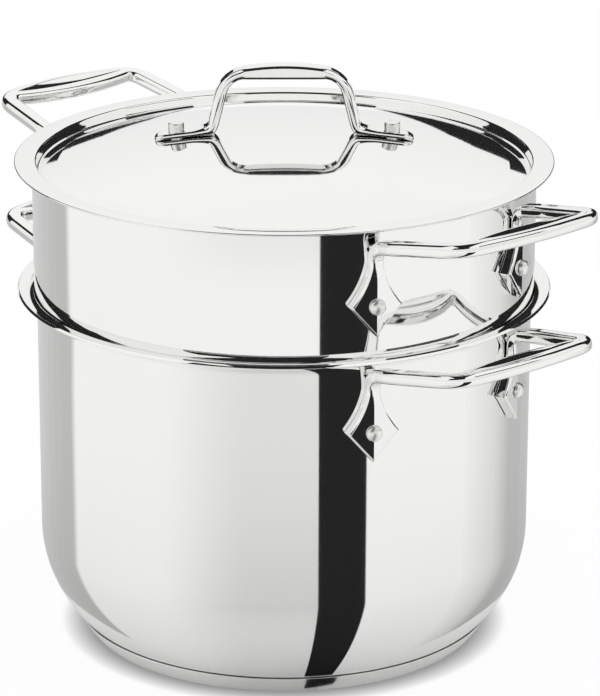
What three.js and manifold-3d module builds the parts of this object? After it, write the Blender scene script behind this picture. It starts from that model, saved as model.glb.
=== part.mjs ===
// A three-piece pasta pot: pot, strainer insert and lid, in polished steel.
// Millimetres, +Z up. The origin is the centre of the base's underside.
// The pot's two handles lie along the X axis.
import * as THREE from 'three';
import { mergeGeometries, mergeVertices } from 'three/addons/utils/BufferGeometryUtils.js';
import Module from 'manifold-3d';

const wasm = await Module();
wasm.setup();

// Fits
const seatGap = 0.3;          // between pieces that rest on or pass through each other
const rivetGap = 0.3;         // round a rivet's shank and under its heads

// Pot
const potBore = 110;          // inside radius of the straight wall
const potWall = 1.2;          // sheet thickness
const potHeight = 162.4;      // top of the lip
const lipBend = 7;            // inside radius of the flared lip
const lipReach = 8.8;         // lip's edge beyond the outside of the wall
const cornerRadius = 58;      // outside radius of the bottom corner
const seamInset = 16.6;       // seam of the base cap, inside the outside of the wall
const seamHeight = 8.9;
const floorDrop = 1.6;        // underside of the pot's own floor, below the seam

// Base
const capSheet = 1;           // steel cap's sheet
const footInset = 5.4;        // edge of the flat underside, inside the seam
const footCurve = 1.4;        // rounding from the flat underside to the slanted side
const capLip = 0.5;           // how far below the seam the cap ends
const capLipThick = 0.6;      // cap's edge
const coreTopInset = 2.4;     // core's top, inside the seam

// Strainer insert
const insertSheet = 0.9;
const bandOver = 1.2;         // plain band's outside, beyond the outside of the pot's wall
const bandStand = 56.9;       // its rim over the pot's lip
const basketClear = 3.4;      // basket's outside, inside the pot's bore
const shoulderDrop = 6.9;     // shoulder's run into the basket's wall, below the lip's bend
const basketCorner = 40;      // outside radius of the basket's bottom corner
const basketStand = 21.5;     // underside of the basket, over the pot's floor
const drainHole = 5.4;        // diameter of the drain holes
const drainSides = 6;
const wallRows = 4;
const wallRowFirst = 50;      // lowest row, over the underside of the basket
const wallRowPitch = 17;
const floorRings = 2;
const floorRingPitch = 24;
const floorRingHoles = 6;     // more holes in each ring than in the one inside it

// Lid
const lidSheet = 0.9;
const lidOverhang = 7.8;      // flange's edge beyond the outside of the insert's band
const flangeClear = 0.9;      // bend into the groove, inside the band's own inside
const grooveDepth = 3.5;      // below the flange
const grooveOuterSlope = 3.2; // widths of the groove's outer side, floor and inner side
const grooveFloorWide = 3;
const grooveInnerSlope = 4.4;
const domeLift = 2.2;         // edge of the dome over the groove's floor
const domeHeight = 13;        // its top over that edge
const lidTurn = THREE.MathUtils.degToRad(50); // the lid's handle from the X axis

// Side handles, measured outward from the wall and down from the rim that they belong to
const footSpread = 41.3;      // each foot's neck from the handle's middle
const handleTilt = THREE.MathUtils.degToRad(10.5);
const loopHeight = 3;         // top face over the rim, at the window's outer edge
const loopThick = 5.7;
const loopEdge = 0.9;         // chamfer round the loop
const windowReach = 36;       // window's outer edge from the wall
const gripWide = 11.6;        // grip's width at its ends
const gripBow = 2.6;          // more width in the middle of the grip
const armShift = 0.9;         // arm's middle line at the wall, outside the neck's
const armTaper = 3;           // how far that line comes in toward the grip
const armWideRoot = 8;
const armWideGrip = 8.4;
const armLap = 2;             // loop's start beyond the end of the bend
const loopCorner = 14;
const windowCorner = 5;
const scoopHalf = 31;         // lens-shaped hollow on the grip
const scoopEdge = 0.9;        // between the hollow and the grip's edges
const scoopDeep = 1.9;
const footThick = 4.8;        // foot's front from the wall
const footBack = 4;           // its block goes this far behind the wall's face before the cut
const footBevel = 1.8;
const footHalf = 11.7;        // diamond's half width
const footCornerDrop = 32.4;  // diamond's side corners below the rim
const footTipDrop = 45.4;     // diamond's lower tip
const footSweep = 7.5;        // how high over those corners its concave sides turn upright
const neckHalf = 3.7;
const neckFlare = 0.8;
const neckDrop = 19;          // where the diamond has narrowed to the neck
const neckLap = 5;            // foot's plate goes on this far up behind the bend
const bendRadius = 5.6;       // middle line from neck to arm
const bendTail = 8;           // bend's straight ends, within the neck and within the arm
const bendLead = 6;

// Side rivets
const rivetDrop = 33.4;
const rivetHead = 7.2;        // diameters
const rivetShank = 5;
const rivetInner = 8.4;
const rivetDome = 2.7;        // heights
const rivetInnerHigh = 1.1;

// Lid handle, in its own plane, heights over the top of the dome
const archRise = 29.8;        // top of the bowed grip, in its middle
const archDrop = 1.8;         // grip's ends below its middle
const gripThick = 5;          // grip's middle
const archInnerHalf = 26;     // inner half width at mid height
const archThick = 5.2;        // leg's thickness there
const archMidRise = 15.8;
const archShoulder = 13.5;    // width of the outer corner's bend
const archLean = 2.6;         // inward and downward pull of that bend
const archSag = 2.2;
const archInnerBend = 9;
const archInnerLean = 1;
const legSpread = 4.4;        // more inner half width just over the foot
const legThick = 4.2;         // leg's thickness there
const legFootRise = 4.8;
const legSplay = 1.4;         // inner side's run-out below that
const strapWide = 9;
const strapEdge = 0.8;
const tongueEnd = 9.6;        // tongue's tip beyond the rivet
const tongueRise = 2.5;       // thickness beside the rivet
const tongueTip = 1.9;        // thickness at the tip
const tongueSlope = 3;        // run from one to the other
const tongueBlend = 7;        // fillet from the tongue up into the leg
const tongueBlendRise = 0.6;
const tongueRound = 4.5;      // rounding of the tip, seen from above
const archScoopHalf = 18.5;
const archScoopWide = 4;
const archScoopDeep = 1.1;

// Lid rivets
const lidRivetOut = 13.4;     // from the outside of the leg
const lidRivetPin = 7;        // diameters
const lidRivetHead = 10;
const lidRivetRise = 6.7;     // top over the lid
const lidRivetEdge = 0.6;
const lidRivetUnder = 1.4;    // head under the lid

// Steps round each turned piece
const turnSteps = 60;         // an even number, so that nested walls keep their gap
const baseSteps = 40;
const rivetSteps = 8;
const cutSteps = 60;
const cutReach = 12;          // cutting tools go on this far beyond the sheet they cut

const steel = { color: 0xd9d9d6, roughness: 0.16, metalness: 1 };
const satinSteel = { color: 0xc9c9c6, roughness: 0.3, metalness: 1 };
const castSteel = { color: 0xd6d6d3, roughness: 0.14, metalness: 1 };
const aluminium = { color: 0xb4b6b8, roughness: 0.45, metalness: 1 };

// Basic shapes

function arc(cx, cz, radius, from, to, steps) {
  const points = [];
  for (let i = 0; i <= steps; i += 1) {
    const a = from + ((to - from) * i) / steps;
    points.push([cx + radius * Math.cos(a), cz + radius * Math.sin(a)]);
  }
  return points;
}

// The line that lies to the left of a line, at an even distance.
function offsetLine(line, distance) {
  const normals = [];
  for (let i = 0; i + 1 < line.length; i += 1) {
    const dx = line[i + 1][0] - line[i][0];
    const dz = line[i + 1][1] - line[i][1];
    const length = Math.hypot(dx, dz);
    normals.push([-dz / length, dx / length]);
  }
  return line.map((point, i) => {
    const a = normals[Math.max(i - 1, 0)];
    const b = normals[Math.min(i, normals.length - 1)];
    const k = distance / (1 + a[0] * b[0] + a[1] * b[1]);
    return [point[0] + (a[0] + b[0]) * k, point[1] + (a[1] + b[1]) * k];
  });
}

// A line from the axis to a rim, thickened into a sheet on its left side.
function sheetProfile(line, thickness) {
  const back = offsetLine(line, thickness).reverse();
  back[back.length - 1][0] = 0;
  return [...line, ...back];
}

function revolve(profile, steps = turnSteps) {
  const points = profile.map(([r, z]) => new THREE.Vector2(r, z));
  const geometry = new THREE.LatheGeometry(points, steps);
  geometry.rotateX(Math.PI / 2);
  return geometry;
}

function extrude(shape, depth, edge, curveSegments = 4) {
  const geometry = new THREE.ExtrudeGeometry(shape, {
    depth: depth - 2 * edge,
    bevelEnabled: edge > 0,
    bevelThickness: edge,
    bevelSize: edge,
    bevelOffset: -edge,
    bevelSegments: 1,
    curveSegments,
  });
  geometry.translate(0, 0, edge);
  return geometry;
}

// A cylinder along the local X axis, from one distance to another.
function rod(radius, from, to, steps) {
  const geometry = new THREE.CylinderGeometry(radius, radius, to - from, steps);
  geometry.rotateZ(Math.PI / 2);
  geometry.translate((from + to) / 2, 0, 0);
  return geometry;
}

// A spindle with pointed ends along Y, flattened in Z: it cuts a lens-shaped hollow.
function spindle(half, wide, deep) {
  const bow = (half * half + wide * wide) / (2 * wide);
  const swing = Math.asin(half / bow);
  const points = [];
  for (let i = 0; i <= 8; i += 1) {
    const a = -swing + (2 * swing * i) / 8;
    const r = i % 8 === 0 ? 0 : bow * Math.cos(a) - (bow - wide);
    points.push(new THREE.Vector2(r, bow * Math.sin(a)));
  }
  const geometry = new THREE.LatheGeometry(points, 12);
  geometry.scale(1, 1, deep / wide);
  return geometry;
}

// Closed mesh to solid, with its corners shared and its faces turned outward.
function solid(geometry) {
  const bare = geometry.clone();
  bare.deleteAttribute('normal');
  bare.deleteAttribute('uv');
  const merged = mergeVertices(bare, 1e-4);
  const p = merged.attributes.position.array;
  const index = merged.index.array;
  const triangles = [];
  let volume = 0;
  for (let i = 0; i < index.length; i += 3) {
    const [a, b, c] = [index[i], index[i + 1], index[i + 2]];
    if (a !== b && b !== c && c !== a) {
      triangles.push(a, b, c);
      const va = new THREE.Vector3().fromArray(p, 3 * a);
      const vb = new THREE.Vector3().fromArray(p, 3 * b);
      const vc = new THREE.Vector3().fromArray(p, 3 * c);
      volume += va.dot(vb.cross(vc));
    }
  }
  if (volume < 0) {
    triangles.reverse();
  }
  return new wasm.Manifold(new wasm.Mesh({
    numProp: 3,
    vertProperties: new Float32Array(p),
    triVerts: new Uint32Array(triangles),
  }));
}

function meshOf(name, body, look) {
  const cut = body.getMesh();
  const geometry = new THREE.BufferGeometry();
  const position = new Float32Array((cut.vertProperties.length / cut.numProp) * 3);
  for (let i = 0; i < position.length / 3; i += 1) {
    for (let k = 0; k < 3; k += 1) {
      position[3 * i + k] = cut.vertProperties[cut.numProp * i + k];
    }
  }
  geometry.setAttribute('position', new THREE.BufferAttribute(position, 3));
  geometry.setIndex(new THREE.BufferAttribute(new Uint32Array(cut.triVerts), 1));
  geometry.computeVertexNormals();
  const mesh = new THREE.Mesh(geometry, new THREE.MeshStandardMaterial(look));
  mesh.name = name;
  return mesh;
}

// A tube of eight-sided sections, each with a middle, a width and a thickness direction.
function loft(sections) {
  const position = [];
  const index = [];
  const sides = 8;
  for (const s of sections) {
    const w = s.width / 2;
    const t = s.thick / 2;
    const e = s.edge;
    const ring = [[w, -t + e], [w, t - e], [w - e, t], [-w + e, t],
      [-w, t - e], [-w, -t + e], [-w + e, -t], [w - e, -t]];
    for (const [a, b] of ring) {
      const point = s.middle.clone().addScaledVector(s.across, a).addScaledVector(s.through, b);
      position.push(point.x, point.y, point.z);
    }
  }
  for (let i = 0; i + 1 < sections.length; i += 1) {
    for (let k = 0; k < sides; k += 1) {
      const a = i * sides + k;
      const b = i * sides + ((k + 1) % sides);
      index.push(a, b, b + sides, a, b + sides, a + sides);
    }
  }
  const last = (sections.length - 1) * sides;
  for (let k = 1; k + 1 < sides; k += 1) {
    index.push(0, k + 1, k, last, last + k, last + k + 1);
  }
  const geometry = new THREE.BufferGeometry();
  geometry.setAttribute('position', new THREE.Float32BufferAttribute(position, 3));
  geometry.setIndex(index);
  return geometry;
}

// Derived sizes
const potOuter = potBore + potWall;
const lipRadius = potOuter + lipReach;
const lipMiddle = potBore + lipBend;
const lipCentre = potHeight - lipBend;
const seamRadius = potOuter - seamInset;
const footRadius = seamRadius - footInset;
const potFloorHeight = seamHeight - floorDrop;
const cornerAxis = potOuter - cornerRadius;
const cornerHeight = seamHeight + Math.sqrt(cornerRadius ** 2 - (seamRadius - cornerAxis) ** 2);
const bandRadius = potOuter + bandOver;
const insertTop = potHeight + bandStand;
const basketRadius = potBore - basketClear;
const basketFloor = potFloorHeight + potWall + basketStand;
const lidRadius = bandRadius + lidOverhang;
const flangeTop = insertTop + seatGap + lidSheet;
const flangeInner = bandRadius - insertSheet - flangeClear;
const grooveOuter = flangeInner - grooveOuterSlope;
const grooveInner = grooveOuter - grooveFloorWide;
const domeEdge = grooveInner - grooveInnerSlope;
const grooveFloor = flangeTop - grooveDepth;
const domeTop = grooveFloor + domeLift + domeHeight;
const domeRadius = (domeEdge ** 2 + domeHeight ** 2) / (2 * domeHeight);
const archTop = domeTop + archRise;
const archUnder = archTop - gripThick;
const archMid = domeTop + archMidRise;
const legFoot = domeTop + legFootRise;
const archHalf = archInnerHalf + archThick;
const legFootInner = archInnerHalf + legSpread;
const legFootHalf = legFootInner + legThick;
const lidRivetAt = legFootHalf + lidRivetOut;
const tongueHalf = lidRivetAt + tongueEnd;
const gripReach = windowReach + gripWide;
const scoopReach = windowReach + (gripWide + gripBow) / 2;
const scoopWide = (gripWide + gripBow) / 2 - scoopEdge;
const neckThick = footThick - seatGap;
const armRoot = footSpread + armShift;
const armGrip = armRoot - armTaper;

// Middle of a foot's neck from the axis of its wall, and the turn that puts it at its spread
function neckReach(wall) {
  return wall + seatGap + neckThick / 2;
}

function footTurn(wall) {
  return Math.asin(footSpread / neckReach(wall));
}

// Radius of the pot's outside at a height within the corner
function cornerAt(height) {
  return cornerAxis + Math.sqrt(cornerRadius ** 2 - (cornerHeight - height) ** 2);
}

// Height of the lid's outside over a radius within the dome
function domeAt(r) {
  return domeTop - domeRadius + Math.sqrt(domeRadius ** 2 - r ** 2);
}

// Rivet holes of a pair of handles, as radial rods through the wall
function rivetRods(diameter, height, wall) {
  const rods = [];
  for (const side of [0, Math.PI]) {
    for (const sign of [-1, 1]) {
      const r = rod(diameter / 2, wall - cutReach, wall + cutReach, rivetSteps);
      r.rotateZ(side + sign * footTurn(wall));
      r.translate(0, 0, height);
      rods.push(r);
    }
  }
  return solid(mergeGeometries(rods));
}

// Pot body: floor, rounded corner, straight wall and flared lip, in one sheet
function potBody() {
  const lowest = Math.asin((potFloorHeight - cornerHeight) / cornerRadius);
  const line = [
    [0, potFloorHeight],
    ...arc(cornerAxis, cornerHeight, cornerRadius, lowest, 0, 5),
    ...arc(lipMiddle, lipCentre, lipBend - potWall, Math.PI, Math.PI / 2, 3),
    [lipRadius, potHeight - potWall],
  ];
  const body = solid(revolve(sheetProfile(line, potWall)));
  return body.subtract(rivetRods(rivetShank + 2 * rivetGap, potHeight - rivetDrop, potOuter));
}

// Steel cap under the base, from its flat underside up to the seam
function capOutside() {
  const top = seamHeight - capLip;
  return [
    [0, 0],
    [footRadius, 0],
    [footRadius + footCurve, footCurve / 2],
    [footRadius + 2 * footCurve, footCurve * 1.5],
    [(footRadius + seamRadius) / 2 + footCurve, (top + footCurve) / 2],
    [cornerAt(top) + seatGap + capLipThick, top],
  ];
}

function capInside() {
  const top = seamHeight - capLip;
  const line = offsetLine(capOutside(), capSheet);
  line[0] = [0, capSheet];
  line[line.length - 1] = [cornerAt(top) + seatGap, top];
  return line;
}

function baseCap() {
  return solid(revolve([...capOutside(), ...capInside().reverse()], baseSteps));
}

// Aluminium core between the cap and the pot's floor
function baseCore() {
  const inside = capInside();
  const side = inside.slice(1, -1).map(([r, z]) => [r - 2 * seatGap, Math.max(z, capSheet)]);
  return solid(revolve([
    [0, capSheet],
    ...side,
    [seamRadius - coreTopInset, potFloorHeight],
    [0, potFloorHeight],
  ], baseSteps));
}

// Strainer insert: plain band, shoulder that nests on the pot's lip, perforated basket
function insertBasket() {
  const nest = lipBend + seatGap;
  const bandMeets = Math.PI - Math.acos((lipMiddle - bandRadius) / nest);
  const cornerIn = basketRadius - basketCorner;
  const cornerUp = basketFloor + basketCorner;
  const line = [
    [0, basketFloor],
    ...arc(cornerIn, cornerUp, basketCorner, -Math.PI / 2, 0, 4),
    [basketRadius, lipCentre - shoulderDrop],
    ...arc(lipMiddle, lipCentre, nest, Math.PI, bandMeets, 2),
    [bandRadius, insertTop],
  ];
  const body = solid(revolve(sheetProfile(line, insertSheet)));
  const rods = [];
  const step = (2 * Math.PI) / turnSteps;
  for (let row = 0; row < wallRows; row += 1) {
    for (let i = row % 2; i < turnSteps; i += 2) {
      const r = rod(drainHole / 2, basketRadius - cutReach, basketRadius + cutReach, drainSides);
      r.rotateZ((i + 0.5) * step);
      r.translate(0, 0, basketFloor + wallRowFirst + row * wallRowPitch);
      rods.push(r);
    }
  }
  for (let ring = 0; ring <= floorRings; ring += 1) {
    const count = Math.max(ring * floorRingHoles, 1);
    for (let i = 0; i < count; i += 1) {
      const r = rod(drainHole / 2, basketFloor - cutReach, basketFloor + cutReach, drainSides);
      r.rotateY(-Math.PI / 2);
      r.translate(ring * floorRingPitch, 0, 0);
      r.rotateZ(((i + 0.5) * 2 * Math.PI) / count);
      rods.push(r);
    }
  }
  const drained = body.subtract(solid(mergeGeometries(rods)));
  return drained.subtract(rivetRods(rivetShank + 2 * rivetGap, insertTop - rivetDrop, bandRadius));
}

// Lid: dome, locating groove and flat flange
function lidShell() {
  const rings = 5;
  const top = [];
  for (let i = 0; i <= rings; i += 1) {
    top.push([(domeEdge * i) / rings, domeAt((domeEdge * i) / rings)]);
  }
  const bend = 1 - Math.cos(Math.PI / 4);
  top.push([domeEdge + grooveInnerSlope / 2, grooveFloor + domeLift * bend]);
  top.push([grooveInner, grooveFloor], [grooveOuter, grooveFloor]);
  for (const t of [1 / 3, 2 / 3]) {
    const rise = grooveDepth * (1 - Math.cos((t * Math.PI) / 2));
    top.push([grooveOuter + t * grooveOuterSlope, grooveFloor + rise]);
  }
  top.push([flangeInner, flangeTop], [lidRadius, flangeTop]);
  const under = offsetLine(top, -lidSheet).reverse();
  under[under.length - 1][0] = 0;
  const holes = [-1, 1].map((sign) => {
    const r = rod(lidRivetPin / 2 + rivetGap, domeTop - cutReach, domeTop + cutReach, rivetSteps);
    r.rotateY(-Math.PI / 2);
    r.translate(sign * lidRivetAt, 0, 0);
    return r;
  });
  return solid(revolve([...top, ...under])).subtract(solid(mergeGeometries(holes)));
}

// Flat loop of a side handle: two arms and the grip, open toward the wall
function loopShape() {
  const shape = new THREE.Shape();
  const cosine = Math.cos(handleTilt);
  const grip = gripReach / cosine;
  const inner = windowReach / cosine;
  const armOuterRoot = armRoot + armWideRoot / 2;
  const armInnerRoot = armRoot - armWideRoot / 2;
  const armOuterGrip = armGrip + armWideGrip / 2;
  const armInnerGrip = armGrip - armWideGrip / 2;
  shape.moveTo(0, armOuterRoot);
  shape.lineTo(0, armInnerRoot);
  shape.lineTo(inner - windowCorner, armInnerGrip);
  shape.quadraticCurveTo(inner, armInnerGrip, inner, armInnerGrip - windowCorner);
  shape.lineTo(inner, -armInnerGrip + windowCorner);
  shape.quadraticCurveTo(inner, -armInnerGrip, inner - windowCorner, -armInnerGrip);
  shape.lineTo(0, -armInnerRoot);
  shape.lineTo(0, -armOuterRoot);
  shape.lineTo(grip - loopCorner, -armOuterGrip);
  shape.quadraticCurveTo(grip, -armOuterGrip, grip, -armOuterGrip + loopCorner);
  shape.quadraticCurveTo(grip + 2 * gripBow, 0, grip, armOuterGrip - loopCorner);
  shape.quadraticCurveTo(grip, armOuterGrip, grip - loopCorner, armOuterGrip);
  shape.lineTo(0, armOuterRoot);
  return shape;
}

// Diamond foot with its neck, heights measured from the rim
function footShape() {
  const shape = new THREE.Shape();
  const sweep = footSweep - footCornerDrop;
  const flare = neckHalf + neckFlare;
  shape.moveTo(0, -footTipDrop);
  shape.lineTo(footHalf, -footCornerDrop);
  shape.quadraticCurveTo(flare, sweep, neckHalf, -neckDrop);
  shape.lineTo(neckHalf, neckLap - neckDrop);
  shape.lineTo(-neckHalf, neckLap - neckDrop);
  shape.lineTo(-neckHalf, -neckDrop);
  shape.quadraticCurveTo(-flare, sweep, -footHalf, -footCornerDrop);
  return shape;
}

// Bend from a foot's neck into its arm: it starts upright and ends along the tilted loop
function bendSections(wall, sign) {
  const up = new THREE.Vector3(0, 0, 1);
  const turn = Math.PI / 2 - handleTilt;
  const footAngle = footTurn(wall);
  const sections = [];
  const start = new THREE.Vector3(neckReach(wall), 0, 0).applyAxisAngle(up, sign * footAngle);
  const steps = 4;
  for (let i = -1; i <= steps + 1; i += 1) {
    const u = Math.min(Math.max(i / steps, 0), 1);
    const beta = sign * footAngle * (1 - u);
    const psi = turn * u;
    const out = new THREE.Vector3(Math.cos(beta), Math.sin(beta), 0);
    const along = up.clone().multiplyScalar(Math.cos(psi)).addScaledVector(out, Math.sin(psi));
    const through = out.clone().multiplyScalar(Math.cos(psi)).addScaledVector(up, -Math.sin(psi));
    const across = new THREE.Vector3(-Math.sin(beta), Math.cos(beta), 0);
    const middle = start.clone().addScaledVector(out, bendRadius * (1 - Math.cos(psi)));
    middle.addScaledVector(up, bendRadius * Math.sin(psi));
    if (i < 0) {
      middle.addScaledVector(along, -bendTail);
    }
    if (i > steps) {
      middle.addScaledVector(along, bendLead);
    }
    sections.push({
      middle,
      across,
      through,
      width: 2 * neckHalf + (armWideRoot - 2 * neckHalf) * u,
      thick: neckThick + (loopThick - neckThick) * u,
      edge: loopEdge,
    });
  }
  return sections;
}

// Side handle for the +X side of a wall, with its top measured from that wall's rim
function sideHandle(wall, rim) {
  const windowTop = rim + loopHeight;
  const topAt = (x) => windowTop - (wall + windowReach - x) * Math.tan(handleTilt);
  const plate = extrude(loopShape(), loopThick, loopEdge);
  plate.translate(0, 0, -loopThick);
  const bends = [-1, 1].map((sign) => bendSections(wall, sign));
  const last = bends[0][bends[0].length - 2].middle;
  const rise = topAt(last.x) - (loopThick / 2) / Math.cos(handleTilt) - last.z;
  plate.rotateY(-handleTilt);
  plate.translate(last.x + armLap, 0, topAt(last.x + armLap));
  let body = solid(plate);
  for (const sections of bends) {
    const sign = Math.sign(sections[0].middle.y);
    const bend = loft(sections);
    bend.translate(0, 0, rise);
    body = body.add(solid(bend));
    const foot = extrude(footShape(), footThick + footBack, footBevel);
    foot.rotateX(Math.PI / 2);
    foot.rotateZ(Math.PI / 2);
    foot.translate(wall - footBack, 0, rim);
    foot.rotateZ(sign * footTurn(wall));
    body = body.add(solid(foot));
    const hole = rod(rivetShank / 2 + rivetGap, wall - cutReach, wall + cutReach, rivetSteps);
    hole.rotateZ(sign * footTurn(wall));
    hole.translate(0, 0, rim - rivetDrop);
    body = body.subtract(solid(hole));
  }
  const scoop = spindle(scoopHalf, scoopWide, scoopDeep);
  scoop.rotateY(-handleTilt);
  scoop.translate(wall + scoopReach, 0, topAt(wall + scoopReach));
  body = body.subtract(solid(scoop));
  const clear = wall + seatGap;
  const low = rim - footTipDrop - cutReach;
  const high = windowTop + cutReach;
  const wallSpace = revolve([[0, low], [clear, low], [clear, high], [0, high]], cutSteps);
  return body.subtract(solid(wallSpace));
}

// Rivet through a foot and its wall, along local X from the wall's axis
function sideRivet(wall, sheetThick) {
  const front = wall + footThick + rivetGap;
  const back = wall - sheetThick - rivetGap;
  const head = rivetHead / 2;
  const profile = [
    [0, back - rivetInnerHigh],
    [rivetInner * 0.34, back - rivetInnerHigh],
    [rivetInner / 2, back - rivetInnerHigh * 0.35],
    [rivetInner / 2, back],
    [rivetShank / 2, back],
    [rivetShank / 2, front],
    [head, front],
    [head, front + rivetDome * 0.3],
    [head * 0.78, front + rivetDome * 0.72],
    [head * 0.42, front + rivetDome * 0.95],
    [0, front + rivetDome],
  ];
  const geometry = revolve(profile, rivetSteps);
  geometry.rotateY(Math.PI / 2);
  return solid(geometry);
}

// Side view of the lid handle: the right half is drawn from the grip's underside, out along
// the foot and back over the top, then mirrored
function archShape() {
  const half = new THREE.Path();
  const seat = (x) => domeAt(x) + seatGap;
  const over = (x) => seat(x) + tongueRise;
  const gripEnd = archTop - archDrop;
  const blend = legFootHalf + tongueBlend;
  const slope = tongueHalf - tongueSlope;
  half.moveTo(0, archUnder);
  half.lineTo(archInnerHalf - archInnerBend, archUnder);
  half.quadraticCurveTo(archInnerHalf - archInnerLean, archUnder, archInnerHalf, archMid);
  half.lineTo(legFootInner, legFoot);
  half.lineTo(legFootInner + legSplay, seat(legFootInner));
  half.lineTo(lidRivetAt, seat(lidRivetAt));
  half.lineTo(tongueHalf, seat(tongueHalf));
  half.lineTo(tongueHalf, seat(tongueHalf) + tongueTip);
  half.lineTo(slope, over(slope));
  half.lineTo(blend, over(blend));
  half.quadraticCurveTo(legFootHalf, over(legFootHalf) + tongueBlendRise, legFootHalf, legFoot);
  half.lineTo(archHalf, archMid);
  half.quadraticCurveTo(archHalf - archLean, gripEnd - archSag, archHalf - archShoulder, gripEnd);
  half.quadraticCurveTo((archHalf - archShoulder) / 2, archTop, 0, archTop);
  const right = half.getPoints(4);
  const left = right.slice(1, -1).reverse().map((point) => new THREE.Vector2(-point.x, point.y));
  return new THREE.Shape([...right, ...left]);
}

// The same handle's outline from above, with its rounded tips
function tongueShape() {
  const side = strapWide / 2 + seatGap;
  const straight = tongueHalf - tongueRound;
  const shape = new THREE.Shape();
  shape.moveTo(-straight, -side);
  shape.lineTo(straight, -side);
  shape.quadraticCurveTo(tongueHalf, -tongueRound / 2, tongueHalf, 0);
  shape.quadraticCurveTo(tongueHalf, tongueRound / 2, straight, side);
  shape.lineTo(-straight, side);
  shape.quadraticCurveTo(-tongueHalf, tongueRound / 2, -tongueHalf, 0);
  shape.quadraticCurveTo(-tongueHalf, -tongueRound / 2, -straight, -side);
  return shape;
}

// Lid handle: an arched strap with a tongue at each foot
function lidHandle() {
  const strap = extrude(archShape(), strapWide, strapEdge);
  strap.translate(0, 0, -strapWide / 2);
  strap.rotateX(Math.PI / 2);
  const outline = extrude(tongueShape(), archRise + 2 * cutReach, 0);
  outline.translate(0, 0, domeTop - cutReach);
  let body = solid(strap).intersect(solid(outline));
  for (const sign of [-1, 1]) {
    const hole = rod(lidRivetPin / 2 + rivetGap, domeTop - cutReach, domeTop + cutReach, rivetSteps);
    hole.rotateY(-Math.PI / 2);
    hole.translate(sign * lidRivetAt, 0, 0);
    body = body.subtract(solid(hole));
  }
  const scoop = spindle(archScoopHalf, archScoopWide, archScoopDeep);
  scoop.rotateZ(Math.PI / 2);
  scoop.translate(0, 0, archTop);
  return body.subtract(solid(scoop));
}

// Lid rivet: a plain pin through the tongue with a flat head under the lid
function lidRivet() {
  const under = domeAt(lidRivetAt + lidRivetHead / 2) - lidSheet - rivetGap;
  const top = domeAt(lidRivetAt) + lidRivetRise;
  const pin = lidRivetPin / 2;
  return solid(revolve([
    [0, under - lidRivetUnder],
    [lidRivetHead / 2 - lidRivetEdge, under - lidRivetUnder],
    [lidRivetHead / 2, under - lidRivetUnder + lidRivetEdge],
    [lidRivetHead / 2, under],
    [pin, under],
    [pin, top - lidRivetEdge],
    [pin - lidRivetEdge, top],
    [0, top],
  ], rivetSteps));
}

// The whole object
const part = new THREE.Group();
const pot = new THREE.Group();
const insert = new THREE.Group();
const lid = new THREE.Group();
part.add(pot, insert, lid);
lid.rotation.z = lidTurn;

pot.add(meshOf('pot_body', potBody(), steel));
pot.add(meshOf('base_core', baseCore(), aluminium));
pot.add(meshOf('base_cap', baseCap(), satinSteel));
insert.add(meshOf('insert_basket', insertBasket(), steel));
lid.add(meshOf('lid_shell', lidShell(), steel));
lid.add(meshOf('lid_handle', lidHandle(), castSteel));

// A pair of handles and their four rivets on one of the two walls
function addHandles(group, prefix, wall, rim, sheetThick) {
  let count = 0;
  for (const [side, angle] of [['right', 0], ['left', Math.PI]]) {
    const handle = meshOf(`${prefix}_handle_${side}`, sideHandle(wall, rim), castSteel);
    handle.rotation.z = angle;
    group.add(handle);
    for (const sign of [-1, 1]) {
      count += 1;
      const rivet = meshOf(`${prefix}_rivet_${count}`, sideRivet(wall, sheetThick), castSteel);
      rivet.rotation.z = angle + sign * footTurn(wall);
      rivet.position.z = rim - rivetDrop;
      group.add(rivet);
    }
  }
}
addHandles(pot, 'pot', potOuter, potHeight, potWall);
addHandles(insert, 'insert', bandRadius, insertTop, insertSheet);

[-1, 1].forEach((sign, i) => {
  const rivet = meshOf(`lid_rivet_${i + 1}`, lidRivet(), castSteel);
  rivet.position.x = sign * lidRivetAt;
  lid.add(rivet);
});

export default part;
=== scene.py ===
import math
import bmesh
import bpy
from mathutils import Matrix, Vector


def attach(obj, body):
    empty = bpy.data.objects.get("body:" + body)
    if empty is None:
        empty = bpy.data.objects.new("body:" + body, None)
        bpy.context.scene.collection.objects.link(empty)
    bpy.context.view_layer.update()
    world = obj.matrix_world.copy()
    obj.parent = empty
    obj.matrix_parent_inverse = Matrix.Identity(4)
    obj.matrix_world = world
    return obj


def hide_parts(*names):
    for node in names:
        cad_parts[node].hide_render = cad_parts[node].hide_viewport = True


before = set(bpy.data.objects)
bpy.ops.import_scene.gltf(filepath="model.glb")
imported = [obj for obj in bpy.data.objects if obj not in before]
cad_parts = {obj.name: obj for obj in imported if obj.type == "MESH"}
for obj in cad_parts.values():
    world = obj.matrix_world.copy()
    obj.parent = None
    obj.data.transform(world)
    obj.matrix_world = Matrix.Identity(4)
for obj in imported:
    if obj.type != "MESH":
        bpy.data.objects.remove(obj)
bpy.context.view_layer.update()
scene = bpy.context.scene

MM = 0.001
UP = Vector((0, 0, 1))

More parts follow.
